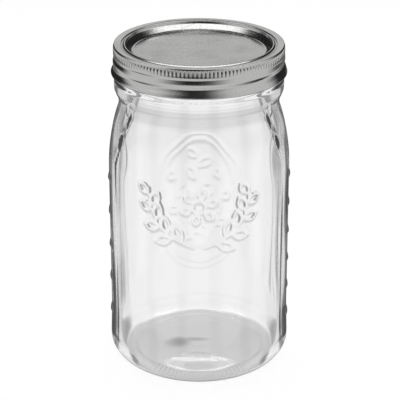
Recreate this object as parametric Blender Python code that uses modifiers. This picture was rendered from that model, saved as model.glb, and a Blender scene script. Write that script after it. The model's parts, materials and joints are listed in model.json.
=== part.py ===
"""One-quart wide-mouth canning jar with its two-piece closure.

A glass jar with a helical thread, a pressed lid disc with a moulded sealing ring, and a rolled screw band whose
groove meshes with the thread. Metres, +Z up, the front towards -Y, the origin at the centre of the standing ring.
"""

import math

import bmesh
import bpy
from mathutils import Matrix

# Glass: heights are measured down from the rim, so the closure follows the rim when the jar gets taller.
glass_height = 0.1734
body_radius = 0.0481
wall_thickness = 0.0038
finish_radius = 0.0419
finish_wall = 0.0039
rim_round = 0.0007
bead_drop = 0.0149
bead_height = 0.0074
bead_stand = 0.002
bead_flank = 0.0016
neck_stand = 0.0005
neck_drop = 0.0254
shoulder_drop = 0.0264
shoulder_height = 0.035
heel_radius = 0.012
inner_heel_radius = 0.010
standing_ring_width = 0.0025
base_hollow = 0.0032
base_thickness = 0.0038
floor_crown = 0.0029
floor_crown_radius = 0.024
panel_depth = 0.0006
panel_run_in = 0.0035
panel_foot = 0.0165

# The four panels pressed into the body: wide ones front and back, narrow ones at the sides. Their heads narrow
# over the shoulder, so that a lens-shaped facet is left standing between each two.
wide_panel_half_angle = math.radians(65)
wide_head_half_angle = math.radians(51)
narrow_head_half_angle = math.radians(19)
panel_edge_angle = math.radians(6)
head_height = 0.033
head_drop = 0.0245

# Thread on the glass and the groove rolled into the band, which share one lead.
thread_lead = 0.00635
thread_turns = 1.3
thread_start_drop = 0.0029
thread_start_angle = math.radians(147)
thread_height = 0.0013
thread_crest_width = 0.001
thread_root_width = 0.0032
thread_sink = 0.0006
thread_run_out_angle = math.radians(40)
running_gap = 0.0005

# Closure: tinplate for the disc and the band, compound for the sealing ring.
sheet = 0.0003
seat_gap = 0.0003
ring_thickness = 0.0007
ring_land_inset = 0.0006
disc_edge_gap = 0.0008
disc_skirt_drop = 0.0009
disc_bend = 0.0004
disc_panel_drop = 0.0024
disc_wall_gap = 0.0012
disc_wall_width = 0.0032
flange_width = 0.0043
band_height = 0.0155
band_corner = 0.0007
crest_clearance = 0.00055
band_bulge = 0.00035
groove_depth = 0.0014
groove_width = 0.004
curl_radius = 0.0004
curl_angle = math.radians(260)
knurl_height = 0.0048
knurl_ribs = 140
flute_depth = 0.00016
flute_share = 0.55

# Round steps: the band takes two flutes on each flat, so that all of them cut equally deep.
glass_steps = 60
disc_steps = 40
band_steps = knurl_ribs // 2
heel_steps = 4
round_steps = 2
curl_steps = 4
groove_rows = 12
shoulder_rows = 5
body_rows = 3
thread_steps_per_turn = 60
merge_distance = 0.00001

# Heights and radii that follow
mouth_radius = finish_radius - finish_wall
neck_radius = finish_radius + neck_stand
ring_inner_radius = mouth_radius + rim_round
rim_z = glass_height
ring_bottom_z = rim_z + seat_gap
ring_top_z = ring_bottom_z + ring_thickness
disc_top_z = ring_top_z + seat_gap + sheet
band_top_z = disc_top_z + seat_gap + sheet
thread_crest_radius = finish_radius + thread_height
band_inner_radius = thread_crest_radius + crest_clearance
band_outer_radius = band_inner_radius + sheet
bulge_radius = band_outer_radius + band_bulge
disc_radius = band_inner_radius - disc_edge_gap


def clear_scene():
    for old in list(bpy.data.objects):
        bpy.data.objects.remove(old, do_unlink=True)


def new_collection(name):
    collection = bpy.data.collections.new(name)
    bpy.context.scene.collection.children.link(collection)
    return collection


clear_scene()
parts = new_collection("canning_jar")
helpers = new_collection("cutters_and_guides")


def finish(name, color, metallic, roughness, transmission=0.0):
    """A Principled material of one colour, for a piece of the jar."""
    material = bpy.data.materials.new(name)
    material.use_nodes = True
    shader = material.node_tree.nodes["Principled BSDF"]
    shader.inputs["Base Color"].default_value = (*color, 1.0)
    shader.inputs["Metallic"].default_value = metallic
    shader.inputs["Roughness"].default_value = roughness
    shader.inputs["Transmission Weight"].default_value = transmission
    return material


clear_glass = finish("clear_glass", (0.95, 0.96, 0.95), 0.0, 0.03, 1.0)
bright_tinplate = finish("bright_tinplate", (0.74, 0.74, 0.73), 1.0, 0.22)
satin_tinplate = finish("satin_tinplate", (0.66, 0.66, 0.65), 1.0, 0.38)
sealing_compound = finish("sealing_compound", (0.42, 0.40, 0.37), 0.0, 0.7)


def add_part(name, mesh, material):
    obj = bpy.data.objects.new(name, mesh)
    parts.objects.link(obj)
    mesh.materials.clear()
    mesh.materials.append(material)
    return obj


def add_helper(name, data):
    obj = bpy.data.objects.new(name, data)
    obj.hide_render = True
    obj.display_type = "WIRE"
    helpers.objects.link(obj)
    return obj


def arc(center, radius, start, end, steps=round_steps):
    """Points (r, z) on a round of the profile, both ends included. The angles are in radians."""
    turns = [start + (end - start) * step / steps for step in range(steps + 1)]
    return [
        (center[0] + radius * math.cos(turn), center[1] + radius * math.sin(turn))
        for turn in turns
    ]


def bezier(start, start_handle, end_handle, end, rows):
    """Points (r, z) on a cubic Bezier curve, without its two ends."""
    points = []
    for row in range(1, rows):
        t = row / rows
        shares = ((1 - t) ** 3, 3 * t * (1 - t) ** 2, 3 * t**2 * (1 - t), t**3)
        corners = (start, start_handle, end_handle, end)
        points.append(
            tuple(sum(share * corner[axis] for share, corner in zip(shares, corners)) for axis in (0, 1))
        )
    return points


def profile_mesh(name, profile, closed=False):
    mesh = bpy.data.meshes.new(name)
    corners = [(radius, 0.0, height) for radius, height in profile]
    edges = [(i, i + 1) for i in range(len(corners) - 1)]
    if closed:
        edges.append((len(corners) - 1, 0))
    mesh.from_pydata(corners, edges, [])
    return mesh


def turn(obj, steps):
    """Turns the object's profile once about Z."""
    screw = obj.modifiers.new("turn", "SCREW")
    screw.steps = steps
    screw.render_steps = steps
    screw.use_merge_vertices = True
    screw.merge_threshold = merge_distance
    screw.use_smooth_shade = True
    return obj


def evaluated_mesh(obj):
    """A mesh of the object as its modifiers leave it, in its own place."""
    graph = bpy.context.evaluated_depsgraph_get()
    mesh = bpy.data.meshes.new_from_object(obj.evaluated_get(graph))
    mesh.transform(obj.matrix_world)
    return mesh


def settle(obj):
    """Replaces the object's mesh by what its modifiers make of it."""
    mesh = evaluated_mesh(obj)
    obj.modifiers.clear()
    obj.data = mesh
    return obj


def combine(target, other, operation):
    boolean = target.modifiers.new(operation.lower(), "BOOLEAN")
    boolean.operation = operation
    boolean.object = other
    boolean.solver = "EXACT"
    return boolean


def smooth_step(value):
    share = min(max(value, 0.0), 1.0)
    return share * share * (3 - 2 * share)


def angle_between(angle, center):
    """The size of the turn from center to angle, at most half a turn."""
    return abs((angle - center + math.pi) % math.tau - math.pi)


# Glass jar: one turned wall, from the inside of the base up over the rim and down the outside


def shoulder(radius_at_neck, radius_at_body):
    """The S-shaped shoulder, from the neck down to the body, ends included."""
    top_z = rim_z - shoulder_drop
    bottom_z = top_z - shoulder_height
    neck_handle_share = 0.17
    body_handle_share = 0.26
    body_reach_share = 0.86
    start = (radius_at_neck, top_z)
    end = (radius_at_body, bottom_z)
    start_handle = (radius_at_neck, top_z - neck_handle_share * shoulder_height)
    end_handle = (
        radius_at_neck + body_reach_share * (radius_at_body - radius_at_neck),
        top_z - body_handle_share * shoulder_height,
    )
    return [start, *bezier(start, start_handle, end_handle, end, shoulder_rows), end]


def jar_profile():
    inner_radius = body_radius - wall_thickness
    base_top_z = base_hollow + base_thickness
    floor_z = base_top_z - floor_crown
    crown_side = (floor_crown_radius, floor_z + floor_crown / 4)
    inner_heel = arc(
        (inner_radius - inner_heel_radius, floor_z + inner_heel_radius),
        inner_heel_radius,
        -math.pi / 2,
        0.0,
        heel_steps - 1,
    )
    inside = [(0.0, base_top_z), crown_side, *inner_heel, *reversed(shoulder(mouth_radius, inner_radius))]
    rim = [
        *arc((mouth_radius + rim_round, rim_z - rim_round), rim_round, math.pi, math.pi / 2),
        *arc((finish_radius - rim_round, rim_z - rim_round), rim_round, math.pi / 2, 0.0),
    ]
    bead_top_z = rim_z - bead_drop
    bead_bottom_z = bead_top_z - bead_height
    bead_radius = finish_radius + bead_stand
    bead = [
        (finish_radius, bead_top_z),
        (bead_radius, bead_top_z - bead_flank),
        (bead_radius, bead_bottom_z + bead_flank),
        (neck_radius, rim_z - neck_drop),
    ]
    body = []
    shoulder_bottom_z = rim_z - shoulder_drop - shoulder_height
    for row in range(1, body_rows):
        body.append((body_radius, shoulder_bottom_z + (panel_foot - shoulder_bottom_z) * row / body_rows))
    heel_center = (body_radius - heel_radius, heel_radius)
    heel = arc(heel_center, heel_radius, 0.0, -math.pi / 2, heel_steps)
    foot_inner_radius = body_radius - heel_radius - standing_ring_width
    hollow_shares = ((1.0, 0.0), (0.93, 0.62), (0.7, 0.93))
    hollow = [(r * foot_inner_radius, z * base_hollow) for r, z in hollow_shares]
    return [
        *inside,
        *rim,
        *bead,
        *shoulder(neck_radius, body_radius),
        *body,
        (body_radius, panel_foot),
        *heel,
        *hollow,
        (0.0, base_hollow),
    ]


def panel_mask(angle, z, center, half_angle, head_half_angle):
    """How deep a panel is pressed at this place, from 0 outside it to 1 inside. It narrows towards its head."""
    head_bottom_z = rim_z - head_drop - head_height
    rise = min(max((z - head_bottom_z) / head_height, 0.0), 1.0)
    half_width = half_angle + (head_half_angle - half_angle) * rise
    across = smooth_step((half_width - angle_between(angle, center)) / panel_edge_angle + 1 / 2)
    foot = smooth_step((z - panel_foot) / panel_run_in)
    return across * foot * smooth_step((1 - rise) * head_height / panel_run_in)


def press_panels(mesh):
    """Presses the four panels into the outer wall of the turned jar, which the mould does in the real one."""
    side_half_angle = math.pi / 2 - wide_panel_half_angle
    panels = (
        (-math.pi / 2, wide_panel_half_angle, wide_head_half_angle),
        (math.pi / 2, wide_panel_half_angle, wide_head_half_angle),
        (0.0, side_half_angle, narrow_head_half_angle),
        (math.pi, side_half_angle, narrow_head_half_angle),
    )
    for vertex in mesh.vertices:
        x, y, z = vertex.co
        radius = math.hypot(x, y)
        faces_out = vertex.normal.x * x + vertex.normal.y * y > 0
        if not faces_out or not panel_foot < z < rim_z - head_drop:
            continue
        angle = math.atan2(y, x)
        depth = panel_depth * max(panel_mask(angle, z, *panel) for panel in panels)
        vertex.co.x = x * (radius - depth) / radius
        vertex.co.y = y * (radius - depth) / radius


def thread_height_at(angle):
    """Height of the glass thread's middle at an angle, on the turn that holds its upper end."""
    return rim_z - thread_start_drop + thread_lead * (angle - thread_start_angle) / math.tau


def thread_ridge():
    """The thread as a helix with a trapezoid section, which runs out into the wall at both ends."""
    path_radius = finish_radius - thread_sink
    flank_slope = (thread_root_width - thread_crest_width) / (2 * thread_height)
    base_half_width = thread_root_width / 2 + flank_slope * thread_sink / 2
    reach = thread_sink + thread_height
    section = bpy.data.curves.new("thread_section", "CURVE")
    section.dimensions = "2D"
    outline = section.splines.new("POLY")
    corners = (
        (thread_sink / 2, -base_half_width),
        (-reach, -thread_crest_width / 2),
        (-reach, thread_crest_width / 2),
        (thread_sink / 2, base_half_width),
    )
    outline.points.add(len(corners) - 1)
    for point, (out, up) in zip(outline.points, corners):
        point.co = (out, up, 0.0, 1.0)
    outline.use_cyclic_u = True
    section_object = add_helper("thread_section", section)

    helix = bpy.data.curves.new("thread_path", "CURVE")
    helix.dimensions = "3D"
    helix.twist_mode = "Z_UP"
    helix.bevel_mode = "OBJECT"
    helix.bevel_object = section_object
    helix.use_fill_caps = True
    spline = helix.splines.new("POLY")
    count = round(thread_turns * thread_steps_per_turn)
    spline.points.add(count)
    sunk_share = thread_sink / 2 / reach
    for index, point in enumerate(spline.points):
        back = math.tau * thread_turns * index / count
        angle = thread_start_angle - back
        from_end = min(back, math.tau * thread_turns - back)
        point.co = (
            path_radius * math.cos(angle),
            path_radius * math.sin(angle),
            thread_height_at(angle),
            1.0,
        )
        point.radius = sunk_share + (1 - sunk_share) * smooth_step(from_end / thread_run_out_angle)
    ridge = add_helper("thread_path", helix)
    mesh = evaluated_mesh(ridge)
    bpy.data.objects.remove(ridge)
    shape = bmesh.new()
    shape.from_mesh(mesh)
    bmesh.ops.remove_doubles(shape, verts=shape.verts, dist=merge_distance)
    bmesh.ops.recalc_face_normals(shape, faces=shape.faces)
    shape.to_mesh(mesh)
    shape.free()
    return add_helper("thread_ridge", mesh)


jar = turn(add_part("glass_jar", profile_mesh("glass_jar", jar_profile()), clear_glass), glass_steps)
settle(jar)
press_panels(jar.data)
combine(jar, thread_ridge(), "UNION")


# Lid disc: one pressed sheet, drawn as its upper face, and its ring of sealing compound


def disc_profile():
    wall_foot_z = disc_top_z - disc_panel_drop
    wall_head_radius = ring_inner_radius - disc_wall_gap
    wall_foot_radius = wall_head_radius - disc_wall_width
    slope = math.atan2(disc_panel_drop, disc_wall_width)
    bend = disc_bend + sheet
    set_back = bend * math.tan(slope / 2)
    foot_center = (wall_foot_radius - set_back, wall_foot_z + bend)
    head_center = (wall_head_radius + set_back, disc_top_z - bend)
    edge_center = (disc_radius - bend, disc_top_z - bend)
    return [
        (0.0, wall_foot_z),
        *arc(foot_center, bend, -math.pi / 2, slope - math.pi / 2),
        *arc(head_center, bend, math.pi / 2 + slope, math.pi / 2),
        *arc(edge_center, bend, math.pi / 2, 0.0),
        (disc_radius, disc_top_z - sheet - disc_skirt_drop),
    ]


def give_wall(obj, thickness):
    """Thickens the sheet behind its drawn face."""
    wall = obj.modifiers.new("sheet", "SOLIDIFY")
    wall.thickness = thickness
    wall.offset = -1.0
    wall.use_even_offset = True
    return obj


disc = turn(add_part("lid_disc", profile_mesh("lid_disc", disc_profile()), satin_tinplate), disc_steps)
give_wall(disc, sheet)

ring_outer_radius = finish_radius - ring_land_inset
ring_profile = [
    (ring_inner_radius, ring_bottom_z),
    (ring_inner_radius, ring_top_z),
    (ring_outer_radius, ring_top_z),
    (ring_outer_radius, ring_bottom_z),
]
turn(
    add_part("sealing_ring", profile_mesh("sealing_ring", ring_profile, closed=True), sealing_compound),
    disc_steps,
)


# Screw band: a spun sheet whose helical groove is rolled in afterwards, then fluted for grip

knurl_top_z = band_top_z - band_corner
knurl_bottom_z = knurl_top_z - knurl_height
curl_center_z = band_top_z - band_height + curl_radius + sheet
crest_of_groove_radius = bulge_radius - sheet - groove_depth


def groove_seat():
    """How far the groove's middle lies below the thread's, so that their flanks clear by the running gap."""
    samples = 40
    bulge_inner_radius = bulge_radius - sheet
    needed = 0.0
    for sample in range(samples + 1):
        radius = crest_of_groove_radius + (thread_crest_radius - crest_of_groove_radius) * sample / samples
        reach = (thread_crest_radius - radius) / thread_height
        thread_half = (thread_crest_width + reach * (thread_root_width - thread_crest_width)) / 2
        share = min(max(2 * (bulge_inner_radius - radius) / groove_depth - 1, -1.0), 1.0)
        groove_half = groove_width / 2 * math.acos(share) / math.pi
        needed = max(needed, thread_half + groove_half)
    return needed + running_gap


groove_below_thread = groove_seat()


def skirt_radius(z):
    """Outer radius of the skirt before rolling: it swells a little below the knurl."""
    swell_height = groove_width / 2
    return band_outer_radius + band_bulge * smooth_step((knurl_bottom_z - z) / swell_height)


def band_profile():
    inner_edge_radius = band_outer_radius - flange_width
    lip = sheet
    corner_center = (band_outer_radius - band_corner, band_top_z - band_corner)
    rows = [
        knurl_bottom_z + (curl_center_z - knurl_bottom_z) * row / groove_rows
        for row in range(1, groove_rows)
    ]
    curl_center = (bulge_radius + curl_radius, curl_center_z)
    return [
        (inner_edge_radius, band_top_z - lip / 2),
        (inner_edge_radius + lip, band_top_z),
        *arc(corner_center, band_corner, math.pi / 2, 0.0),
        (band_outer_radius, knurl_bottom_z),
        *[(skirt_radius(z), z) for z in rows],
        *arc(curl_center, curl_radius, math.pi, math.pi + curl_angle, curl_steps),
    ]


def roll_groove(mesh):
    """Rolls the helical groove into the skirt, between the knurl and the curled edge."""
    fade = groove_width / 3
    for vertex in mesh.vertices:
        x, y, z = vertex.co
        if z >= knurl_bottom_z or z <= curl_center_z:
            continue
        radius = math.hypot(x, y)
        middle = thread_height_at(math.atan2(y, x)) - groove_below_thread
        offset = (z - middle + thread_lead / 2) % thread_lead - thread_lead / 2
        reach = min(abs(offset) / (groove_width / 2), 1.0)
        depth = groove_depth * (1 + math.cos(math.pi * reach)) / 2
        depth *= smooth_step((knurl_bottom_z - z) / fade) * smooth_step((z - curl_center_z) / fade)
        vertex.co.x = x * (radius - depth) / radius
        vertex.co.y = y * (radius - depth) / radius


def knurl_cutter():
    """All the flutes as one set of three-sided prisms, each with an edge that points at the axis."""
    shape = bmesh.new()
    overrun = flute_depth / 2
    across = (flute_depth + overrun) / flute_depth * flute_share * math.tau * band_outer_radius / knurl_ribs
    flat_radius = band_outer_radius * math.cos(math.pi / band_steps) / math.cos(math.pi / knurl_ribs)
    unit_height = 3 / 2
    unit_width = math.sqrt(3)
    stretch = Matrix.Diagonal(
        ((flute_depth + overrun) / unit_height, across / unit_width, knurl_height - sheet, 1.0)
    )
    middle = (flat_radius - flute_depth + stretch[0][0], 0.0, (knurl_top_z + knurl_bottom_z) / 2)
    for flute in range(knurl_ribs):
        angle = math.tau * (flute + 1 / 2) / knurl_ribs
        turned = Matrix.Rotation(angle, 4, "Z") @ Matrix.Translation(middle)
        edge_inwards = Matrix.Rotation(math.pi / 2, 4, "Z")
        bmesh.ops.create_cone(
            shape,
            cap_ends=True,
            segments=3,
            radius1=1,
            radius2=1,
            depth=1,
            matrix=turned @ stretch @ edge_inwards,
        )
    mesh = bpy.data.meshes.new("knurl_flutes")
    shape.to_mesh(mesh)
    shape.free()
    return add_helper("knurl_flutes", mesh)


band = turn(add_part("screw_band", profile_mesh("screw_band", band_profile()), bright_tinplate), band_steps)
settle(band)
roll_groove(band.data)
give_wall(band, sheet)
combine(band, knurl_cutter(), "DIFFERENCE")


# The band hangs from an empty on its own axis, about which it turns

band_axis = bpy.data.objects.new("band_turn_axis", None)
parts.objects.link(band_axis)
band.parent = band_axis
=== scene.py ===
"""Wide-mouth canning jar with its two-piece closure, as it stands in the studio.

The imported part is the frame: the glass jar stands still, and the lid disc with its sealing ring and the screw band
rise and turn off it. Every piece is drawn here as a finer skin over its CAD solid, in metres, with +Z up and the
front towards -Y.
"""

import json
import math

import bpy
import numpy as np
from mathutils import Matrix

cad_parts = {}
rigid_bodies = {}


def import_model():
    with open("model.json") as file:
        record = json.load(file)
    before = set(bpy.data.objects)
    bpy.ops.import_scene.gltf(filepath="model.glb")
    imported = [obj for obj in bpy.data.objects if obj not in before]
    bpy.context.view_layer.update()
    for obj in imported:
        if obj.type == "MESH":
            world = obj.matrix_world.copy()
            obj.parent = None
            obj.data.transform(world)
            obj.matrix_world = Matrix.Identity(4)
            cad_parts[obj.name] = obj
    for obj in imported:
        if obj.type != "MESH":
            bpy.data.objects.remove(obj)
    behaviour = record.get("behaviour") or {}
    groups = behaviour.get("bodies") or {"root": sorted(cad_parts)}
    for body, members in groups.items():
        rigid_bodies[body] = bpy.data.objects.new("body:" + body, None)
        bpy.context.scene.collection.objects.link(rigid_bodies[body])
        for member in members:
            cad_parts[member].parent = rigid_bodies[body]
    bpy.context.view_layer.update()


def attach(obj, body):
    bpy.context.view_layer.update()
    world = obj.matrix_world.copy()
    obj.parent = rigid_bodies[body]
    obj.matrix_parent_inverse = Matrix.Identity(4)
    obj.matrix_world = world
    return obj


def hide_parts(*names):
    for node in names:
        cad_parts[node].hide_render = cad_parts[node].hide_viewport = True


for leftover in list(bpy.data.objects):
    bpy.data.objects.remove(leftover, do_unlink=True)

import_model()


# ---------------------------------------------------------------------------------------------------------------
# Glass jar. One pressed and blown piece of clear soda-lime glass: base, body with four pressed panels, arched
# shoulder, neck, bead and threaded finish. It is one closed wall, turned round the axis, with the thread, the
# panels and the raised marks pushed out of it or into it.

RIM_Z = 0.1734
BODY_RADIUS = 0.0481
WALL = 0.0038
FINISH_RADIUS = 0.0419
MOUTH_RADIUS = 0.038
NECK_RADIUS = 0.0424
BEAD_RADIUS = 0.0439
SHOULDER_TOP_Z = 0.147
SHOULDER_FOOT_Z = 0.112
WALL_TOP_Z = 0.100
HEEL_RADIUS = 0.012
RING_WIDTH = 0.0025
BASE_HOLLOW = 0.0032
FLOOR_TOP_Z = 0.0087
FLOOR_FOOT_Z = 0.0034
FLOOR_RADIUS = 0.0385
INSIDE_HEEL_Z = 0.0155
THREAD_LEAD = 0.00635
THREAD_START = math.radians(147)
THREAD_DROP = 0.0029
THREAD_TURNS = 1.3
THREAD_HEIGHT = 0.0013
PANEL_FOOT_Z = 0.0165
PANEL_DEPTH = 0.0006
PANEL_HEAD_EXTRA = 0.0006
PANEL_EDGE_DEGREES = 1.9
MARK_HALF_WIDTH = 0.0008
FRONT_MARK_HEIGHT = 0.00055
BACK_MARK_HEIGHT = 0.0004
BAR_HEIGHT = 0.0006
GLASS_COLUMNS = 320


def smooth(value):
    """Smooth step: 3 v^2 - 2 v^3 of the value held between 0 and 1."""
    held = np.clip(value, 0.0, 1.0)
    return held * held * (3.0 - 2.0 * held)


def rounded(corners, steps=8):
    """Profile through corners (radius, height, rounding): each corner gives way to the arc of its rounding that
    touches both its sides, so the arc begins at rounding / tan(half the corner's angle) from the corner."""
    points = np.array([corner[:2] for corner in corners])
    line = [points[0]]
    for before, (r, z, rounding), after in zip(points, corners[1:-1], points[2:]):
        corner = np.array([r, z])
        back, on = before - corner, after - corner
        back, on = back / np.linalg.norm(back), on / np.linalg.norm(on)
        half = math.acos(np.clip(back @ on, -1.0, 1.0)) / 2
        if rounding == 0 or half > math.pi / 2 - 1e-3:
            line.append(corner)
            continue
        middle = corner + (back + on) / np.linalg.norm(back + on) * rounding / math.sin(half)
        start = corner + back * rounding / math.tan(half) - middle
        end = corner + on * rounding / math.tan(half) - middle
        turn = math.pi - 2 * half
        share = np.linspace(0.0, 1.0, steps + 1)[:, None]
        line.extend(middle + (np.sin((1 - share) * turn) * start + np.sin(share * turn) * end) / math.sin(turn))
    line.append(points[-1])
    return np.array(line)


def bezier(start, start_handle, end_handle, end, steps=40):
    """Cubic Bezier curve through its two ends: the sum of the four corners by the Bernstein shares."""
    t = np.linspace(0.0, 1.0, steps + 1)[:, None]
    corners = [np.array(c) for c in (start, start_handle, end_handle, end)]
    shares = ((1 - t) ** 3, 3 * t * (1 - t) ** 2, 3 * t**2 * (1 - t), t**3)
    return sum(share * corner for share, corner in zip(shares, corners))


def rows_along(line, spacing):
    """Points along a profile, a spacing apart: the length is divided by the spacing wanted at each place, summed,
    and cut into equal steps. Spacing is a function of (radius, height, share of the whole length)."""
    fine_steps = np.linalg.norm(np.diff(line, axis=0), axis=1)
    length = np.concatenate([[0.0], np.cumsum(fine_steps)])
    dense = np.linspace(0.0, length[-1], 6001)
    r, z = np.interp(dense, length, line[:, 0]), np.interp(dense, length, line[:, 1])
    rows = np.concatenate([[0.0], np.cumsum(np.diff(dense) / spacing(r, z, dense / length[-1])[1:])])
    count = max(int(round(rows[-1])), 3)
    place = np.interp(np.linspace(0.0, rows[-1], count + 1), rows, dense)
    return np.stack([np.interp(place, dense, r), np.interp(place, dense, z)], axis=1)


def shell(name, points, closed_section):
    """Closed mesh over a grid (rows, columns, 3) that runs once round the axis. The section is a closed loop of
    rows, or it starts and ends on the axis, where the first and the last row become one pole each."""
    rows, columns = points.shape[:2]
    column = np.arange(columns)
    following = np.roll(column, -1)
    if closed_section:
        vertices = points.reshape(-1, 3)
        row = np.arange(rows)[:, None]
        below = np.roll(np.arange(rows), -1)[:, None]
        fans = np.zeros((0, 3), int)
    else:
        vertices = np.concatenate([points[1:-1].reshape(-1, 3), points[:1, 0], points[-1:, 0]])
        row, below = np.arange(rows - 3)[:, None], np.arange(1, rows - 2)[:, None]
        first, last = (rows - 2) * columns, (rows - 2) * columns + 1
        end = (rows - 3) * columns
        fans = np.concatenate([
            np.stack([column, following, np.full(columns, first)], axis=1),
            np.stack([end + following, end + column, np.full(columns, last)], axis=1),
        ])
    quads = np.stack(
        np.broadcast_arrays(
            row * columns + column,
            below * columns + column,
            below * columns + following,
            row * columns + following,
        ),
        axis=-1,
    ).reshape(-1, 4)
    mesh = bpy.data.meshes.new(name)
    mesh.vertices.add(len(vertices))
    mesh.vertices.foreach_set("co", vertices.astype(np.float32).ravel())
    loops = np.concatenate([quads.ravel(), fans.ravel()])
    mesh.loops.add(len(loops))
    mesh.loops.foreach_set("vertex_index", loops.astype(np.int32))
    starts = np.concatenate([np.arange(len(quads)) * 4, quads.size + np.arange(len(fans)) * 3])
    mesh.polygons.add(len(starts))
    mesh.polygons.foreach_set("loop_start", starts.astype(np.int32))
    mesh.polygons.foreach_set("use_smooth", np.ones(len(starts), bool))
    mesh.update(calc_edges=True)
    mesh.validate()
    piece = bpy.data.objects.new(name, mesh)
    bpy.context.scene.collection.objects.link(piece)
    return piece


def turned(section, angles):
    """Grid of points of a section (radius, height) carried round the axis: (r cos a, r sin a, z)."""
    r, z = section[:, 0][:, None], section[:, 1][:, None]
    return np.stack(np.broadcast_arrays(r * np.cos(angles), r * np.sin(angles), z), axis=-1)


def pushed(points, distance):
    """The points moved away from the axis by a distance."""
    radius = np.maximum(np.hypot(points[..., 0], points[..., 1]), 1e-9)
    moved = points.copy()
    moved[..., :2] *= ((radius + distance) / radius)[..., None]
    return moved


def shoulder_curve(neck, body, softness):
    """The S of the shoulder, from the neck's radius to the body's: a Bezier curve whose foot runs out into the
    wall with the 3.25th power of the height, blurred by a Gaussian as wide as the softness."""
    drop = SHOULDER_TOP_Z - SHOULDER_FOOT_Z
    curve = bezier(
        (0.0, SHOULDER_TOP_Z), (0.0, SHOULDER_TOP_Z - 0.17 * drop), (0.86, SHOULDER_TOP_Z - 0.26 * drop),
        (1.0, SHOULDER_FOOT_Z),
    )
    step = 0.0002
    z = np.arange(WALL_TOP_Z - 0.010, SHOULDER_TOP_Z + 0.020, step)
    share = np.interp(z, curve[::-1, 1], curve[::-1, 0])
    run_out = 1.0 - 0.158 * (np.clip(z - WALL_TOP_Z, 0.0, None) / 0.025) ** 3.25
    share = np.where(z < 0.125, run_out, share)
    reach = np.arange(-0.008, 0.008 + step / 2, step)
    weight = np.exp(-0.5 * (reach / softness) ** 2)
    share = np.convolve(share, weight / weight.sum(), mode="same")
    kept = (z > WALL_TOP_Z) & (z < SHOULDER_TOP_Z + 2 * softness)
    return np.stack([neck + (body - neck) * share, z], axis=1)[kept][::-1]


def heel_curve(floor_radius, floor_z, wall_radius, wall_z, power, steps=40):
    """Quarter of a superellipse from the floor up to the wall: its sine and cosine shares, to the power 2 / n."""
    turn = np.linspace(0.0, math.pi / 2, steps + 1)
    across, up = np.sin(turn) ** (2 / power), 1 - np.cos(turn) ** (2 / power)
    return np.stack([
        floor_radius + (wall_radius - floor_radius) * across, floor_z + (wall_z - floor_z) * up
    ], axis=1)


def thread_height(angle, z):
    """How far the thread stands out of the finish, in metres: a trapezoid 1 mm wide at its crest and 3.2 mm at its
    foot, along a helix that falls one lead a turn, and fades out over 40 degrees at both ends."""
    height = np.zeros(np.broadcast(angle, z).shape)
    for turn in (0, 1):
        back = np.mod(THREAD_START - angle, 2 * math.pi) + 2 * math.pi * turn
        middle = RIM_Z - THREAD_DROP - THREAD_LEAD * back / (2 * math.pi)
        flank = smooth((0.0016 - np.abs(z - middle)) / 0.0011)
        from_end = np.minimum(back, 2 * math.pi * THREAD_TURNS - back)
        height = np.maximum(height, THREAD_HEIGHT * flank * smooth(from_end / math.radians(40)))
    return height


def turn_between(angle, middle):
    """Size of the turn from one angle to another, at most half a turn."""
    return np.abs(np.mod(angle - middle + math.pi, 2 * math.pi) - math.pi)


def panels(angle, z):
    """The four pressed panels: how deep each place is pressed, in metres, and how much it lies on a steep edge,
    from 0 to 1. Straight sides run up to the shoulder and then lean in towards the neck, so that a lens-shaped
    facet is left standing between the heads of two panels. Across the side the depth is a smooth step, twice as
    deep at the heads, and the edge counts as steep at the heads only, up to 1.5 degrees off its middle."""
    climb = np.clip((z - 0.117) / 0.033, 0.0, 1.0)
    wide = 66.3 - 13.3 * (1 - (1 - climb) ** 1.3)
    narrow = np.minimum(27.0, 90.0 - wide) - 6.5 * smooth((z - 0.128) / 0.011)
    ends = smooth((z - PANEL_FOOT_Z + 0.008) / 0.024) * smooth((0.1515 - z) / 0.009)
    pressed = PANEL_DEPTH + PANEL_HEAD_EXTRA * smooth((z - 0.112) / 0.022)
    depth = np.zeros(np.broadcast(angle, z).shape)
    steep = depth.copy()
    for middle, half_width in ((-90, wide), (90, wide), (0, narrow), (180, narrow)):
        edge = (half_width - np.degrees(turn_between(angle, math.radians(middle)))) / PANEL_EDGE_DEGREES
        depth = np.maximum(depth, pressed * smooth(edge + 0.5) * ends)
        steep = np.maximum(steep, smooth(1.5 - 1.9 * np.abs(edge + 0.3)) * ends)
    return depth, steep * smooth((z - 0.121) / 0.009) * smooth((0.147 - z) / 0.006)


def leaf(base, tip, belly):
    """Outline of a leaf from base to tip and back: two arcs that stand off the midline by belly * sin(pi t)."""
    base, tip = np.array(base), np.array(tip)
    t = np.linspace(0.0, 1.0, 13)[:, None]
    side = np.array([-(tip - base)[1], (tip - base)[0]]) / np.linalg.norm(tip - base)
    bow = side * belly * np.sin(math.pi * t)
    middle = base + (tip - base) * t
    return np.concatenate([middle + bow, (middle - bow)[::-1]])


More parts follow.
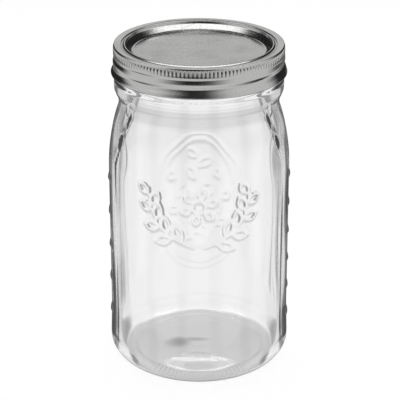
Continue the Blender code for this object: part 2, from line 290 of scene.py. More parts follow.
def sprig(foot, head, bow, leaves, length, belly):
    """Lines of a leafy sprig: a stem that bows sideways by bow * sin(pi t) between foot and head, with leaves to
    the left and to the right in turn."""
    foot, head = np.array(foot), np.array(head)
    across = np.array([-(head - foot)[1], (head - foot)[0]]) / np.linalg.norm(head - foot)
    t = np.linspace(0.0, 1.0, 25)[:, None]
    stem = foot + (head - foot) * t + across * bow * np.sin(math.pi * t)
    lines = [stem]
    for number in range(leaves):
        place = 0.12 + 0.80 * number / max(leaves - 1, 1)
        at = int(round(place * 24))
        on = stem[min(at + 1, 24)] - stem[at - 1]
        heading = math.atan2(on[1], on[0]) + math.radians(42) * (1 if number % 2 else -1)
        way = np.array([math.cos(heading), math.sin(heading)])
        lines.append(leaf(stem[at] + way * 0.0012, stem[at] + way * length * (1 - 0.3 * place), belly))
    return lines


def ring(middle, width, height, steps=60):
    """Closed oval line of that width and height."""
    turn = np.linspace(0.0, 2 * math.pi, steps + 1)
    return np.stack([middle[0] + width / 2 * np.cos(turn), middle[1] + height / 2 * np.sin(turn)], axis=1)


def raised(across, up, lines, half_width, edge):
    """Mask of raised lines, from 0 to 1: the distance to the nearest line, taken off the half width, over the
    width of the edge, as a smooth step. Across and up are places on the wall, in metres."""
    mask = np.zeros(across.shape)
    reach = half_width + edge
    for line in lines:
        low, high = line.min(axis=0) - reach, line.max(axis=0) + reach
        near = (across > low[0]) & (across < high[0]) & (up > low[1]) & (up < high[1])
        if not near.any():
            continue
        place = np.stack([across[near], up[near]], axis=1)[:, None, :]
        start, way = line[:-1][None], np.diff(line, axis=0)[None]
        share = np.clip(((place - start) * way).sum(-1) / np.maximum((way**2).sum(-1), 1e-12), 0.0, 1.0)
        gap = np.sqrt((((start + way * share[..., None]) - place) ** 2).sum(-1)).min(axis=1)
        mask[near] = np.maximum(mask[near], smooth((half_width - gap) / edge + 0.5))
    return mask


# Columns lie 0.7 mm apart over the front marks, 1 mm over the back ones and 1.1 mm at the sides.
fine_angle = np.linspace(-math.pi, math.pi, 7201)
to_front = turn_between(fine_angle, math.radians(-90))
to_back = turn_between(fine_angle, math.radians(90))
column_step = 1.15 - 0.45 * smooth((math.radians(46) - to_front) / 0.15) - 0.15 * smooth(
    (math.radians(40) - to_back) / 0.15
)
running = np.concatenate([[0.0], np.cumsum(1 / column_step[1:])])
glass_angles = np.interp(np.linspace(0.0, running[-1], GLASS_COLUMNS, endpoint=False), running, fine_angle)

inner_radius = BODY_RADIUS - WALL
foot_radius = BODY_RADIUS - HEEL_RADIUS
inside_line = np.concatenate([
    bezier((0.0, FLOOR_TOP_Z), (0.030, FLOOR_TOP_Z), (0.030, FLOOR_FOOT_Z), (FLOOR_RADIUS, FLOOR_FOOT_Z)),
    heel_curve(FLOOR_RADIUS, FLOOR_FOOT_Z, inner_radius, INSIDE_HEEL_Z, 2.2)[1:],
    shoulder_curve(MOUTH_RADIUS, inner_radius, 0.0022)[::-1],
    rounded([
        (MOUTH_RADIUS, SHOULDER_TOP_Z + 0.008, 0.0),
        (MOUTH_RADIUS, RIM_Z, 0.0007),
        (MOUTH_RADIUS / 2 + FINISH_RADIUS / 2, RIM_Z, 0.0),
    ]),
])
outside_line = np.concatenate([
    rounded([
        (MOUTH_RADIUS / 2 + FINISH_RADIUS / 2, RIM_Z, 0.0),
        (FINISH_RADIUS, RIM_Z, 0.0007),
        (FINISH_RADIUS, RIM_Z - 0.0149, 0.0006),
        (BEAD_RADIUS, RIM_Z - 0.0165, 0.0012),
        (BEAD_RADIUS, RIM_Z - 0.0207, 0.0012),
        (NECK_RADIUS, RIM_Z - 0.0250, 0.002),
        (NECK_RADIUS, SHOULDER_TOP_Z + 0.0009, 0.0),
    ]),
    shoulder_curve(NECK_RADIUS, BODY_RADIUS, 0.0004),
    rounded([
        (BODY_RADIUS, WALL_TOP_Z, 0.0),
        (BODY_RADIUS, 0.0, HEEL_RADIUS - 0.0002),
        (foot_radius - RING_WIDTH, 0.0, 0.0030),
        (foot_radius - RING_WIDTH - 0.0060, BASE_HOLLOW * 0.30, 0.0200),
        (0.5 * (foot_radius - RING_WIDTH), BASE_HOLLOW * 0.85, 0.040),
        (0.0, BASE_HOLLOW, 0.0),
    ], steps=16)[1:],
])


def inside_spacing(r, z, share):
    """Row spacing inside: wide on the wall, closer round the heel, the shoulder and the rim."""
    spacing = np.where(z > SHOULDER_FOOT_Z, 0.0026, 0.0048)
    spacing = np.where(z < 0.020, 0.0016, spacing)
    return np.where(z > RIM_Z - 0.001, 0.00045, spacing)


def outside_spacing(r, z, share):
    """Row spacing outside: fine at the thread, the raised marks and the standing ring."""
    spacing = np.where(z > 0.1475, 0.00055, 0.00094)
    spacing = np.where((z > SHOULDER_FOOT_Z + 0.006) & (z <= 0.1475), 0.0012, spacing)
    spacing = np.where(z > RIM_Z - 0.001, 0.0004, spacing)
    spacing = np.where(z < 0.016, 0.0014, spacing)
    spacing = np.where((z < 0.0009) & (r > 0.031), 0.0005, spacing)
    return np.where((z < 0.004) & (r < 0.031), 0.004, spacing)


inside_rows = rows_along(inside_line, inside_spacing)
outside_rows = rows_along(outside_line, outside_spacing)
around = glass_angles[None, :]

# Raised marks: two leafy sprigs with a rosette between them in front, an oval ring round a sheaf behind, and
# measuring bars at the sides.
front_across = BODY_RADIUS * (np.mod(around + math.pi / 2 + math.pi, 2 * math.pi) - math.pi)
back_across = BODY_RADIUS * (np.mod(around - math.pi / 2 + math.pi, 2 * math.pi) - math.pi)
left_across = BODY_RADIUS * (np.mod(around, 2 * math.pi) - math.pi)
right_across = BODY_RADIUS * around
mark_z = np.broadcast_to(outside_rows[:, 1][:, None], (len(outside_rows), len(glass_angles)))
front_across, back_across, left_across, right_across = (
    np.broadcast_to(a, mark_z.shape) for a in (front_across, back_across, left_across, right_across)
)
front_lines = [
    *sprig((-0.003, 0.082), (-0.0270, 0.112), 0.0075, 8, 0.0115, 0.0022),
    *sprig((0.003, 0.082), (0.0270, 0.112), -0.0075, 8, 0.0115, 0.0022),
    ring((0.0, 0.104), 0.0066, 0.0066, 24),
    *[
        leaf(
            (0.0042 * math.cos(turn), 0.104 + 0.0042 * math.sin(turn)),
            (0.0098 * math.cos(turn), 0.104 + 0.0098 * math.sin(turn)),
            0.0018,
        )
        for turn in np.radians(np.arange(18, 378, 60))
    ],
]
back_lines = [
    ring((0.0, 0.068), 0.054, 0.082),
    ring((0.0, 0.068), 0.047, 0.075),
    *sprig((0.0, 0.040), (0.0, 0.098), 0.0, 7, 0.014, 0.0026),
    *sprig((-0.002, 0.040), (-0.014, 0.084), 0.003, 5, 0.010, 0.0022),
    *sprig((0.002, 0.040), (0.014, 0.084), -0.003, 5, 0.010, 0.0022),
]
bars = [np.array([[-0.005, z], [0.005, z]]) for z in 0.026 + 0.0192 * np.arange(5)]
half_bars = [np.array([[-0.004, z], [0.004, z]]) for z in 0.0235 + 0.0162 * np.arange(6)]
marks = np.zeros(mark_z.shape)
for across, lines, edge, mark_height in (
    (front_across, front_lines, 0.0008, FRONT_MARK_HEIGHT),
    (back_across, back_lines, 0.0009, BACK_MARK_HEIGHT),
    (left_across, bars, 0.0010, BAR_HEIGHT),
    (right_across, half_bars, 0.0010, BAR_HEIGHT),
):
    marks = np.maximum(marks, raised(across, mark_z, lines, MARK_HALF_WIDTH, edge) * mark_height)

# The mould presses the outside true, but the inside is blown, so it waves a little round the jar and up it, and
# its floor ripples.
inner_z = inside_rows[:, 1][:, None]
wave = (
    0.00007 * np.sin(3 * around + 60 * inner_z)
    + 0.00005 * np.sin(8 * around - 90 * inner_z + 1.0)
    + 0.00003 * np.sin(19 * around + 50 * inner_z + 2.0)
) * smooth((inner_z - 0.012) / 0.02) * smooth((0.150 - inner_z) / 0.02)
inside = pushed(turned(inside_rows, glass_angles), wave)
inner_r = inside_rows[:, 0][:, None]
on_floor = smooth((0.029 - inner_r) / 0.012) * smooth(inner_r / 0.006) * (inner_z < 0.02)
inside[..., 2] += on_floor * (
    0.00003 * np.sin(2 * around + 500 * inner_r) + 0.00001 * np.sin(5 * around - 420 * inner_r + 1.4)
)

outer_z = outside_rows[:, 1][:, None]
outer_r = outside_rows[:, 0][:, None]
depth, steep = panels(around, outer_z)
outward = (
    np.where(outer_z > 0.1565, thread_height(around, outer_z), 0.0)
    - depth
    + marks
    + 0.00003 * np.sin(2 * math.pi * outer_z / 0.0022) * smooth((outer_z - 0.1475) / 0.003) * (outer_z < 0.158)
)
outside = pushed(turned(outside_rows, glass_angles), outward)

# The standing ring is stippled, so that hot glass touches the belt on points only.
on_ring = smooth((outer_r - 0.0332) / 0.0004) * smooth((0.0385 - outer_r) / 0.0006) * (outer_z < 0.0012)
outside[..., 2] += 0.00018 * on_ring * (0.5 + 0.5 * np.cos(96 * around + 0.8 * np.sin(7 * around)))

jar = shell("jar_glass", np.concatenate([inside, outside[1:]]), closed_section=False)

# Painted shade in the glass's colour: at the panels' steep edges outside, where bent light makes the glass look
# darker, and inside a painted dark reflection on the floor, as oval blots exp(-d^4) by place, half length, half
# width and strength.
painted_dark_reflection = np.zeros(inside.shape[:2])
for blot_x, blot_y, half_length, half_width, strength in (
    (-0.0110, -0.0098, 0.0068, 0.0056, 1.0),
    (-0.0025, -0.0068, 0.0072, 0.0024, 0.8),
    (0.0000, -0.0212, 0.006, 0.0010, 0.4),
):
    off = ((inside[..., 0] - blot_x) / half_length) ** 2 + ((inside[..., 1] - blot_y) / half_width) ** 2
    painted_dark_reflection = np.maximum(painted_dark_reflection, strength * np.exp(-off * off) * (inner_z < 0.0100))
# Both are painted shade, kept in one point attribute that darkens the glass's base colour.
darker = np.concatenate([painted_dark_reflection, steep[1:]])[1:-1].ravel()
edges = jar.data.attributes.new("painted_shade", "FLOAT", "POINT")
edges.data.foreach_set("value", np.append(darker, (0.0, 0.0)).astype(np.float32))


def material(name):
    """New node material: its tree and its Principled shader."""
    made = bpy.data.materials.new(name)
    made.use_nodes = True
    tree = made.node_tree
    return made, tree, tree.nodes["Principled BSDF"]


def node(tree, kind, **settings):
    """New node with its settings. A setting whose name starts with 'in_' sets that input, by number."""
    made = tree.nodes.new(kind)
    for name, value in settings.items():
        if name.startswith("in_"):
            socket = made.inputs[int(name[3:])]
            if isinstance(value, bpy.types.NodeSocket):
                tree.links.new(value, socket)
            else:
                socket.default_value = value
        else:
            setattr(made, name, value)
    return made


def maths(tree, operation, *values):
    """Value of a Math node."""
    inputs = {f"in_{number}": value for number, value in enumerate(values)}
    return node(tree, "ShaderNodeMath", operation=operation, **inputs).outputs[0]


def ramp(tree, value, low, high, to_low=0.0, to_high=1.0):
    """Smooth step of a value from low to high, as numbers from to_low to to_high."""
    return node(
        tree,
        "ShaderNodeMapRange",
        interpolation_type="SMOOTHSTEP",
        in_0=value,
        in_1=low,
        in_2=high,
        in_3=to_low,
        in_4=to_high,
    ).outputs[0]


# Clear glass with faint laps and a chilled skin, its base colour painted darker by a point attribute, as painted
# shade at the panels' steep edges and as a painted dark reflection on the floor. Shadow rays pass it, so that the
# lamp lights what stands in it, and what is mirrored inside it more than twice comes out as a faint glow.
clear_glass, tree, shader = material("clear_soda_lime_glass")
shader.inputs["IOR"].default_value = 1.52
shader.inputs["Transmission Weight"].default_value = 1.0
place = node(tree, "ShaderNodeTexCoord").outputs["Object"]
lap = node(tree, "ShaderNodeTexNoise", in_0=place, in_2=26.0, in_3=2.0, in_4=0.45)
chill = node(tree, "ShaderNodeTexNoise", in_0=place, in_2=420.0, in_3=3.0, in_4=0.5)
skin = maths(tree, "ADD", lap.outputs[0], maths(tree, "MULTIPLY", chill.outputs[0], 0.012))
surface = node(tree, "ShaderNodeBump", in_0=0.05, in_1=0.002, in_3=skin)
tree.links.new(surface.outputs[0], shader.inputs["Normal"])
# Painted shade: the base colour runs from clear 0.99 down to 0.28 where the attribute is set.
on_edge = node(tree, "ShaderNodeAttribute", attribute_name="painted_shade").outputs["Fac"]
clear = node(tree, "ShaderNodeMix", data_type="RGBA", in_0=on_edge)
clear.inputs[6].default_value, clear.inputs[7].default_value = (0.99, 0.99, 0.99, 1.0), (0.28, 0.28, 0.28, 1.0)
tree.links.new(clear.outputs[2], shader.inputs["Base Color"])
tree.links.new(ramp(tree, chill.outputs[0], 0.45, 0.75, 0.0, 0.03), shader.inputs["Roughness"])
path = node(tree, "ShaderNodeLightPath")
lamp_light = node(tree, "ShaderNodeBsdfTransparent", in_0=(0.93, 0.94, 0.93, 1.0))
trapped = node(tree, "ShaderNodeEmission", in_0=(1.0, 1.0, 1.0, 1.0), in_1=0.06)
deep = maths(tree, "GREATER_THAN", path.outputs["Glossy Depth"], 2.5)
solid = node(tree, "ShaderNodeMixShader", in_0=deep, in_1=shader.outputs[0], in_2=trapped.outputs[0])
by_ray = node(
    tree,
    "ShaderNodeMixShader",
    in_0=path.outputs["Is Shadow Ray"],
    in_1=solid.outputs[0],
    in_2=lamp_light.outputs[0],
)
tree.links.new(by_ray.outputs[0], tree.nodes["Material Output"].inputs["Surface"])
jar.data.materials.append(clear_glass)
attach(jar, "jar")
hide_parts("glass_jar")


# ---------------------------------------------------------------------------------------------------------------
# Lid disc. One sheet of tinplate, 0.3 mm, pressed into a shallow dish: a flat centre, a sloping wall, a ring that
# lies on the rim and an edge turned down over it. The satin lacquer is put on before pressing.

SHEET = 0.0003
DISC_TOP_Z = 0.1750
DISC_RADIUS = 0.04295
DISC_PANEL_Z = DISC_TOP_Z - 0.0032


def sheet_section(line, thickness):
    """Closed section of a sheet: the drawn face, and the same line moved in by the thickness along its normal."""
    along = np.gradient(line, axis=0)
    along /= np.linalg.norm(along, axis=1)[:, None]
    inward = np.stack([-along[:, 1], along[:, 0]], axis=1)
    return np.concatenate([line, (line - inward * thickness)[::-1]])


disc_line = rounded([
    (0.0, DISC_PANEL_Z, 0.0),
    (0.0345, DISC_PANEL_Z, 0.0022),
    (0.0374, DISC_TOP_Z - 0.0006, 0.0003),
    (0.0378, DISC_TOP_Z + 0.0006, 0.0002),
    (0.0384, DISC_TOP_Z + 0.0006, 0.0003),
    (0.0391, DISC_TOP_Z, 0.0002),
    (DISC_RADIUS, DISC_TOP_Z, 0.0007),
    (DISC_RADIUS, DISC_TOP_Z - SHEET - 0.0009, 0.0),
], steps=10)


def disc_spacing(r, z, share):
    """Row spacing on the disc: wide on the sunk panel and on the rim, fine where the sheet bends."""
    spacing = np.where((r > 0.0332) & (r < 0.0400), 0.00012, 0.0006)
    return np.where(r < 0.0332, 0.0016, spacing)


disc_upper = rows_along(disc_line, disc_spacing)
disc_section = sheet_section(disc_upper, SHEET)
disc_section[:, 0] = np.maximum(disc_section[:, 0], 0.0)
disc_angles = np.linspace(-math.pi, math.pi, 360, endpoint=False)
disc = shell("lid_disc_sheet", turned(disc_section, disc_angles), closed_section=False)


def value_group(name, inputs, outputs):
    """New node group with these sockets, and its group nodes. Sockets are (name, kind) pairs."""
    made = bpy.data.node_groups.new(name, "ShaderNodeTree")
    for side, sockets in (("INPUT", inputs), ("OUTPUT", outputs)):
        for socket_name, kind in sockets:
            made.interface.new_socket(name=socket_name, in_out=side, socket_type=kind)
    return made, made.nodes.new("NodeGroupInput"), made.nodes.new("NodeGroupOutput")


# Tinplate: a fine grain, longer marks along the rolling, and scratches and rubbed spots from handling. It gives a
# tone to multiply the colour by, an amount of roughness to add, and a height for the bump.
tinplate, sockets_in, sockets_out = value_group(
    "tinplate_surface",
    [("Grain place", "NodeSocketVector"), ("Rolled place", "NodeSocketVector")],
    [("Tone", "NodeSocketFloat"), ("Roughness", "NodeSocketFloat"), ("Height", "NodeSocketFloat")],
)
grain_place, rolled_place = sockets_in.outputs[:2]
grain = node(tinplate, "ShaderNodeTexNoise", in_0=grain_place, in_2=900.0, in_3=2.0, in_4=0.6).outputs[0]
rolled = node(tinplate, "ShaderNodeTexNoise", in_0=rolled_place, in_2=1.0, in_3=3.0, in_4=0.6).outputs[0]
cloud = node(tinplate, "ShaderNodeTexNoise", in_0=grain_place, in_2=70.0, in_3=3.0, in_4=0.5).outputs[0]
lines = node(
    tinplate, "ShaderNodeTexVoronoi", feature="DISTANCE_TO_EDGE", in_0=grain_place, in_2=130.0
).outputs["Distance"]
broken = ramp(tinplate, cloud, 0.55, 0.68)
scratch = maths(tinplate, "MULTIPLY", ramp(tinplate, lines, 0.006, 0.02, 1.0, 0.0), broken)
grain_tone = ramp(tinplate, grain, 0.3, 0.7, 0.90, 1.10)
rolled_tone = ramp(tinplate, rolled, 0.3, 0.7, -0.04, 0.04)
tone = maths(tinplate, "ADD", grain_tone, rolled_tone)
tone = maths(tinplate, "SUBTRACT", tone, maths(tinplate, "MULTIPLY", scratch, 0.10))
rubbed = ramp(tinplate, cloud, 0.35, 0.7, -0.03, 0.05)
rough = maths(tinplate, "ADD", rubbed, maths(tinplate, "MULTIPLY", scratch, 0.12))
rough = maths(tinplate, "ADD", rough, ramp(tinplate, grain, 0.3, 0.7, -0.02, 0.02))
height = maths(tinplate, "ADD", maths(tinplate, "MULTIPLY", grain, 0.5), maths(tinplate, "MULTIPLY", rolled, 0.5))
height = maths(tinplate, "SUBTRACT", height, maths(tinplate, "MULTIPLY", scratch, 0.35))
for value, socket in zip((tone, rough, height), sockets_out.inputs):
    tinplate.links.new(value, socket)


def give_tinplate(tree, shader, rolled_place, color, mottle, roughness, bump):
    """Lays the tinplate surface on a shader: colour times tone, roughness plus its variation, and a bump. Mottle
    is how far the tone departs from one."""
    place = node(tree, "ShaderNodeTexCoord").outputs["Object"]
    surface = node(tree, "ShaderNodeGroup", node_tree=tinplate, in_0=place, in_1=rolled_place)
    departure = maths(tree, "MULTIPLY", maths(tree, "SUBTRACT", surface.outputs["Tone"], 1.0), mottle)
    tone = maths(tree, "ADD", departure, 1.0)
    tinted = node(tree, "ShaderNodeVectorMath", operation="SCALE", in_0=color, in_3=tone)
    tree.links.new(tinted.outputs[0], shader.inputs["Base Color"])
    tree.links.new(maths(tree, "ADD", surface.outputs["Roughness"], roughness), shader.inputs["Roughness"])
    relief = node(tree, "ShaderNodeBump", in_0=bump, in_1=0.0001, in_3=surface.outputs["Height"])
    tree.links.new(relief.outputs[0], shader.inputs["Normal"])
    shader.inputs["Metallic"].default_value = 1.0


satin, tree, shader = material("satin_lacquered_tinplate")
flat_place = node(tree, "ShaderNodeTexCoord").outputs["Object"]
along_rolling = (240.0, 2600.0, 2600.0)
rolled_place = node(tree, "ShaderNodeVectorMath", operation="MULTIPLY", in_0=flat_place, in_1=along_rolling)
give_tinplate(tree, shader, rolled_place.outputs[0], (0.655, 0.655, 0.645), 0.9, 0.17, 0.35)
disc.data.materials.append(satin)
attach(disc, "lid")
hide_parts("lid_disc")


# ---------------------------------------------------------------------------------------------------------------
# Sealing ring. Soft compound, flowed into the disc's channel and set there, which seals on the glass rim.

SEAL_INNER, SEAL_OUTER = 0.0387, 0.0413
SEAL_FOOT_Z, SEAL_TOP_Z = 0.1737, 0.1744
SEAL_ROUNDING = 0.0002

ring_section = rounded([
    (0.0395, SEAL_FOOT_Z, 0.0),
    (SEAL_INNER, SEAL_FOOT_Z, SEAL_ROUNDING),
    (SEAL_INNER, SEAL_TOP_Z, SEAL_ROUNDING),
    (SEAL_OUTER, SEAL_TOP_Z, SEAL_ROUNDING),
    (SEAL_OUTER, SEAL_FOOT_Z, SEAL_ROUNDING),
    (0.0396, SEAL_FOOT_Z, 0.0),
], steps=4)
seal = shell("sealing_compound_ring", turned(ring_section, disc_angles), closed_section=True)
compound, tree, shader = material("sealing_compound")
place = node(tree, "ShaderNodeTexCoord").outputs["Object"]
flow = node(tree, "ShaderNodeTexNoise", in_0=place, in_2=500.0, in_3=4.0, in_4=0.6).outputs[0]
mottle = node(tree, "ShaderNodeMix", data_type="RGBA", in_0=ramp(tree, flow, 0.35, 0.7))
mottle.inputs[6].default_value, mottle.inputs[7].default_value = (0.38, 0.36, 0.33, 1.0), (0.46, 0.44, 0.41, 1.0)
tree.links.new(mottle.outputs[2], shader.inputs["Base Color"])
tree.links.new(ramp(tree, flow, 0.3, 0.7, 0.6, 0.8), shader.inputs["Roughness"])
relief = node(tree, "ShaderNodeBump", in_0=0.4, in_1=0.0001, in_3=flow)
tree.links.new(relief.outputs[0], shader.inputs["Normal"])
seal.data.materials.append(compound)
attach(seal, "lid")
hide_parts("sealing_ring")


# ---------------------------------------------------------------------------------------------------------------
# Screw band. Bright tinplate, spun into a ring with a flange over the disc, knurled for grip, then rolled with the
# helical groove that runs on the glass thread, and curled outwards at its lower edge.

BAND_TOP_Z = 0.1756
BAND_RADIUS = 0.04405
BAND_HEIGHT = 0.0155
FLANGE_WIDTH = 0.0043
KNURL_RIBS = 140
KNURL_TOP_Z = BAND_TOP_Z - 0.0009
KNURL_FOOT_Z = KNURL_TOP_Z - 0.0035
CURL_RADIUS = 0.0006
CURL_REACH = 0.0454
CURL_Z = BAND_TOP_Z - BAND_HEIGHT + CURL_RADIUS + SHEET
GROOVE_WIDTH = 0.0052
GROOVE_DEPTH = 0.0006
GROOVE_BELOW_THREAD = 0.0018155

band_angles = np.linspace(-math.pi, math.pi, KNURL_RIBS * 6, endpoint=False)
curl_turn = np.radians(np.linspace(18, -190, 14))
curl = np.stack([
    CURL_REACH - CURL_RADIUS + CURL_RADIUS * np.cos(curl_turn), CURL_Z + CURL_RADIUS * np.sin(curl_turn)
], axis=1)
band_top = rounded([
    (BAND_RADIUS - FLANGE_WIDTH + 0.0001, BAND_TOP_Z - 0.00048, 0.0),
    (BAND_RADIUS - FLANGE_WIDTH + 0.00025, BAND_TOP_Z - 0.00020, 0.0001),
    (BAND_RADIUS - FLANGE_WIDTH + 0.0012, BAND_TOP_Z, 0.001),
    (BAND_RADIUS - 0.0005, BAND_TOP_Z, 0.0003),
    (BAND_RADIUS, BAND_TOP_Z - 0.0014, 0.0006),
    (BAND_RADIUS, KNURL_FOOT_Z - 0.0010, 0.0030),
    (BAND_RADIUS + 0.0003, KNURL_FOOT_Z - 0.0036, 0.0030),
    (BAND_RADIUS + 0.0002, KNURL_FOOT_Z - 0.0062, 0.0020),
    curl[0].tolist() + [0.0],
], steps=8)
band_line = np.concatenate([band_top, curl[1:]])


def band_spacing(r, z, share):
    """Row spacing on the band: wide on the flat flange, fine on the knurl's ends and on the curl."""
    spacing = np.where(z > KNURL_TOP_Z, 0.00014, 0.00034)
    spacing = np.where((r < BAND_RADIUS - 0.0009) & (r > BAND_RADIUS - FLANGE_WIDTH + 0.0005), 0.0009, spacing)
    return np.where(z < CURL_Z + 0.0003, 0.00022, spacing)


band_outer = rows_along(band_line, band_spacing)
outer_z = band_outer[:, 1][:, None]
band_grid_angles = band_angles[None, :]


def groove_depth(angle, z):
    """How deep the rolled groove is: a cosine trough along the thread's own helix, a set distance below the
    thread, which fades out towards the knurl and the curl."""
    middle = RIM_Z - THREAD_DROP + THREAD_LEAD * (angle - THREAD_START) / (2 * math.pi) - GROOVE_BELOW_THREAD
    offset = np.mod(z - middle + THREAD_LEAD / 2, THREAD_LEAD) - THREAD_LEAD / 2
    reach = np.minimum(np.abs(offset) / (GROOVE_WIDTH / 2), 1.0)
    fade = smooth((KNURL_FOOT_Z - 0.0006 - z) / (GROOVE_WIDTH / 3)) * smooth((z - CURL_Z) / (GROOVE_WIDTH / 3))
    return GROOVE_DEPTH * (1 + np.cos(math.pi * reach)) / 2 * fade


def knurl_depth(angle, z):
    """Depth of the flutes between the ribs: a smooth step of a raised cosine across each flute, that deepens
    evenly from the foot to the top and faster over the upper half, with a short step at both ends."""
    across = np.mod(angle * KNURL_RIBS / (2 * math.pi), 1.0)
    slot = smooth((0.5 - 0.5 * np.cos(2 * math.pi * across)) / 0.65)
    share = np.clip((z - KNURL_FOOT_Z) / (KNURL_TOP_Z - KNURL_FOOT_Z), 0.0, 1.0)
    ends = smooth((z - KNURL_FOOT_Z) / 0.00035) * smooth((KNURL_TOP_Z - z) / 0.0004)
    return (0.00012 + 0.00030 * share + 0.00038 * smooth((share - 0.45) / 0.5)) * slot * ends


depth = groove_depth(band_grid_angles, outer_z)
outer_skin = pushed(turned(band_outer, band_angles), -depth)
along = np.gradient(outer_skin, axis=0)
sideways = np.roll(outer_skin, -1, axis=1) - np.roll(outer_skin, 1, axis=1)
normal = np.cross(along, sideways)
normal /= np.linalg.norm(normal, axis=-1)[..., None]
flutes = knurl_depth(band_grid_angles, outer_z)
inner_rows = np.unique(np.append(np.arange(0, len(band_outer), 2), len(band_outer) - 1))
inner_skin = pushed(outer_skin - normal * SHEET, -0.8 * flutes)[::-1][inner_rows]
band = shell("screw_band_sheet", np.concatenate([pushed(outer_skin, -flutes), inner_skin]), closed_section=True)

bright, tree, shader = material("bright_rolled_tinplate")
around_place = node(tree, "ShaderNodeTexCoord").outputs["Object"]
x, y, z = node(tree, "ShaderNodeSeparateXYZ", in_0=around_place).outputs
spun = maths(tree, "MULTIPLY", maths(tree, "ARCTAN2", y, x), 5.0)
reach = maths(tree, "SQRT", maths(tree, "ADD", maths(tree, "POWER", x, 2.0), maths(tree, "POWER", y, 2.0)))
spun_place = node(
    tree,
    "ShaderNodeCombineXYZ",
    in_0=spun,
    in_1=maths(tree, "MULTIPLY", reach, 5200.0),
    in_2=maths(tree, "MULTIPLY", z, 5200.0),
)
give_tinplate(tree, shader, spun_place.outputs[0], (0.73, 0.73, 0.72), 0.2, 0.17, 0.25)
band.data.materials.append(bright)
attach(band, "band")
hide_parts("screw_band")


# ---------------------------------------------------------------------------------------------------------------
# Studio. A pale floor that runs out into a white ground, and soft light from above and all round. White cards
# with dark gaps between them are seen through the glass and draw its dark edges, and a room is mirrored in the
# metal and draws its bands.

floor_mesh = bpy.data.meshes.new("floor")
side = 3.0
corners = [(-side, -side, 0), (side, -side, 0), (side, side, 0), (-side, side, 0)]
floor_mesh.from_pydata(corners, [], [(0, 1, 2, 3)])
floor = bpy.data.objects.new("floor", floor_mesh)
bpy.context.scene.collection.objects.link(floor)

# The floor is white to the eye and takes a faint shadow. Mirrored and bent rays see it grey under the jar, a painted
# shadow in grey emission, and beyond the jar's foot they pass it and see what the world shows below it.
floor_paint, tree, shader = material("pale_floor")
tree.nodes.remove(shader)
path = node(tree, "ShaderNodeLightPath")
place = node(tree, "ShaderNodeTexCoord").outputs["Object"]
from_axis = node(tree, "ShaderNodeVectorMath", operation="LENGTH", in_0=place).outputs["Value"]
paint = node(tree, "ShaderNodeBsdfDiffuse", in_0=(0.86, 0.86, 0.86, 1.0))
ground = node(tree, "ShaderNodeEmission", in_0=(1.0, 1.0, 1.0, 1.0), in_1=1.05)
seen = node(tree, "ShaderNodeMixShader", in_0=0.8, in_1=paint.outputs[0], in_2=ground.outputs[0])
# Painted shadow: grey emission that bent rays see under the jar in place of its shade.
shaded = node(tree, "ShaderNodeEmission", in_0=(1.0, 1.0, 1.0, 1.0), in_1=0.60)
through = node(tree, "ShaderNodeBsdfTransparent")
bent = maths(tree, "MAXIMUM", path.outputs["Is Glossy Ray"], path.outputs["Is Transmission Ray"])
under = node(tree, "ShaderNodeMixShader", in_0=bent, in_1=seen.outputs[0], in_2=shaded.outputs[0])
far = ramp(tree, from_axis, 0.040, 0.046)
by_ray = node(
    tree,
    "ShaderNodeMixShader",
    in_0=maths(tree, "MULTIPLY", bent, far),
    in_1=under.outputs[0],
    in_2=through.outputs[0],
)
tree.links.new(by_ray.outputs[0], tree.nodes["Material Output"].inputs["Surface"])
floor.data.materials.append(floor_paint)

world = bpy.data.worlds.new("studio")
bpy.context.scene.world = world
world.use_nodes = True
tree = world.node_tree
tree.nodes.clear()
path = node(tree, "ShaderNodeLightPath")
direction = node(tree, "ShaderNodeTexCoord").outputs["Generated"]
parts = node(tree, "ShaderNodeSeparateXYZ", in_0=direction)
x, y, z = parts.outputs
azimuth = maths(tree, "MULTIPLY", maths(tree, "ARCTAN2", x, y), 180 / math.pi)
elevation = maths(tree, "MULTIPLY", maths(tree, "ARCSINE", z), 180 / math.pi)
off_back = maths(tree, "ABSOLUTE", azimuth)

# Cards seen through the glass: a white card every 45 degrees, with a darker gap between, brighter towards the
# floor. Overhead is white, with the end of a bright tube behind the jar that makes the highlight on the base.
cards = maths(tree, "COSINE", maths(tree, "MULTIPLY", azimuth, 8 * math.pi / 180))
cards = ramp(tree, cards, -0.97, 0.0, 0.30, 1.0)
cards = maths(tree, "MAXIMUM", cards, ramp(tree, elevation, -35.0, -50.0, 0.0, 0.85))
fall = ramp(tree, elevation, -15.0, -24.0, 0.88, 1.18)
overhead = ramp(tree, elevation, 35.0, 50.0)
tube_end = maths(tree, "MULTIPLY", ramp(tree, elevation, 53.0, 54.0), ramp(tree, elevation, 59.0, 57.0))
tube_end = maths(tree, "MULTIPLY", tube_end, ramp(tree, off_back, 31.0, 25.0))
overhead = maths(tree, "ADD", overhead, maths(tree, "MULTIPLY", tube_end, 7.0))
seen_through = maths(tree, "MAXIMUM", maths(tree, "MULTIPLY", cards, fall), overhead)

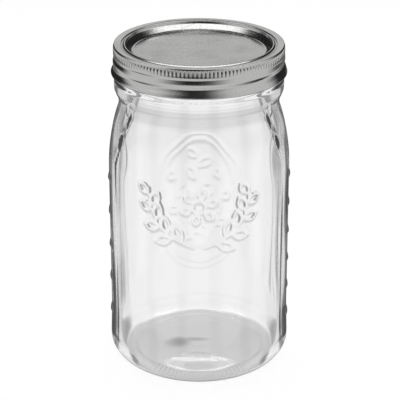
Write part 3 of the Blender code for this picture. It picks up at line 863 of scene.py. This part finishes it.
# Room mirrored in the metal and in the skin of the glass: pale floor, dark straight below and low down from the
# back round to the sides, dark camera side, pale walls left and right, dark gaps behind with a weaker one low
# between them, and a white ceiling that comes down lower at the sides, with a curved tube brighter than the rest.
above = ramp(tree, elevation, -20.0, -13.0)
off_front = maths(tree, "ABSOLUTE", maths(tree, "WRAP", maths(tree, "ADD", azimuth, 173.0), 180.0, -180.0))
front_dark = maths(tree, "MULTIPLY", ramp(tree, off_front, 56.0, 10.0), above)
back_gap = maths(tree, "MAXIMUM", ramp(tree, off_back, 11.0, 16.0), ramp(tree, elevation, 14.0, 8.0))
back_gap = maths(tree, "MULTIPLY", back_gap, ramp(tree, off_back, 58.0, 82.0, 1.0, 0.0))
back_gap = maths(tree, "MULTIPLY", back_gap, ramp(tree, elevation, -24.0, -10.0))
back_high = maths(tree, "MULTIPLY", ramp(tree, off_back, 72.0, 58.0), ramp(tree, elevation, 28.0, 36.0))
dark = maths(tree, "MAXIMUM", maths(tree, "MAXIMUM", front_dark, back_gap), back_high)
side_foot = maths(tree, "MULTIPLY", ramp(tree, off_back, 122.0, 74.0), ramp(tree, elevation, -33.0, -40.0))
low_gap = maths(tree, "MULTIPLY", ramp(tree, off_back, 46.0, 30.0, 0.0, 0.79), ramp(tree, elevation, -36.0, -28.0))
low_gap = maths(tree, "MULTIPLY", low_gap, ramp(tree, elevation, -8.0, -14.0))
dark = maths(tree, "MAXIMUM", dark, maths(tree, "MAXIMUM", side_foot, low_gap))
dark = maths(tree, "MAXIMUM", dark, ramp(tree, elevation, -61.0, -71.0))
room = maths(tree, "SUBTRACT", 0.76, maths(tree, "MULTIPLY", dark, 0.74))
side_roof = maths(tree, "MULTIPLY", ramp(tree, off_back, 62.0, 74.0), ramp(tree, off_back, 126.0, 106.0))
side_roof = maths(tree, "MULTIPLY", side_roof, ramp(tree, elevation, 34.0, 41.0))
low_roof = maths(tree, "MULTIPLY", ramp(tree, elevation, 47.0, 54.0), ramp(tree, off_back, 48.0, 60.0))
low_roof = maths(tree, "MULTIPLY", low_roof, ramp(tree, off_back, 135.0, 110.0))
roof = maths(tree, "MAXIMUM", maths(tree, "MAXIMUM", side_roof, low_roof), ramp(tree, elevation, 64.0, 70.0))
tube = maths(tree, "SUBTRACT", y, maths(tree, "MULTIPLY", maths(tree, "POWER", x, 2.0), 0.86))
tube = maths(tree, "ABSOLUTE", maths(tree, "ADD", tube, 0.29))
roof = maths(tree, "MULTIPLY", roof, ramp(tree, tube, 0.06, 0.14, 2.7, 1.35))
mirrored = maths(tree, "MAXIMUM", room, roof)

plain = 0.85
by_glossy = node(tree, "ShaderNodeMix", in_0=path.outputs["Is Glossy Ray"], in_2=plain, in_3=mirrored).outputs[0]
by_through = node(
    tree, "ShaderNodeMix", in_0=path.outputs["Is Transmission Ray"], in_2=by_glossy, in_3=seen_through
).outputs[0]
by_camera = node(tree, "ShaderNodeMix", in_0=path.outputs["Is Camera Ray"], in_2=by_through, in_3=1.0).outputs[0]
back = node(tree, "ShaderNodeBackground", in_1=by_camera)
node(tree, "ShaderNodeOutputWorld", in_0=back.outputs[0])

lamp = bpy.data.lights.new("overhead_soft_box", "AREA")
lamp.shape = "RECTANGLE"
lamp.size, lamp.size_y = 0.95, 0.56
lamp.energy = 3.0
overhead_box = bpy.data.objects.new("overhead_soft_box", lamp)
overhead_box.location = (0.0, 0.14, 0.72)
overhead_box.visible_glossy = False
bpy.context.scene.collection.objects.link(overhead_box)

camera_data = bpy.data.cameras.new("camera")
camera_data.sensor_width = 36.0
camera_data.lens = 145.13
camera = bpy.data.objects.new("camera", camera_data)
camera.location = (0.0, -0.7894, 0.4245)
camera.rotation_euler = (math.radians(90 - 23.08), 0.0, -1 / 1606)
bpy.context.scene.collection.objects.link(camera)
bpy.context.scene.camera = camera
bpy.context.scene.view_settings.view_transform = "Standard"
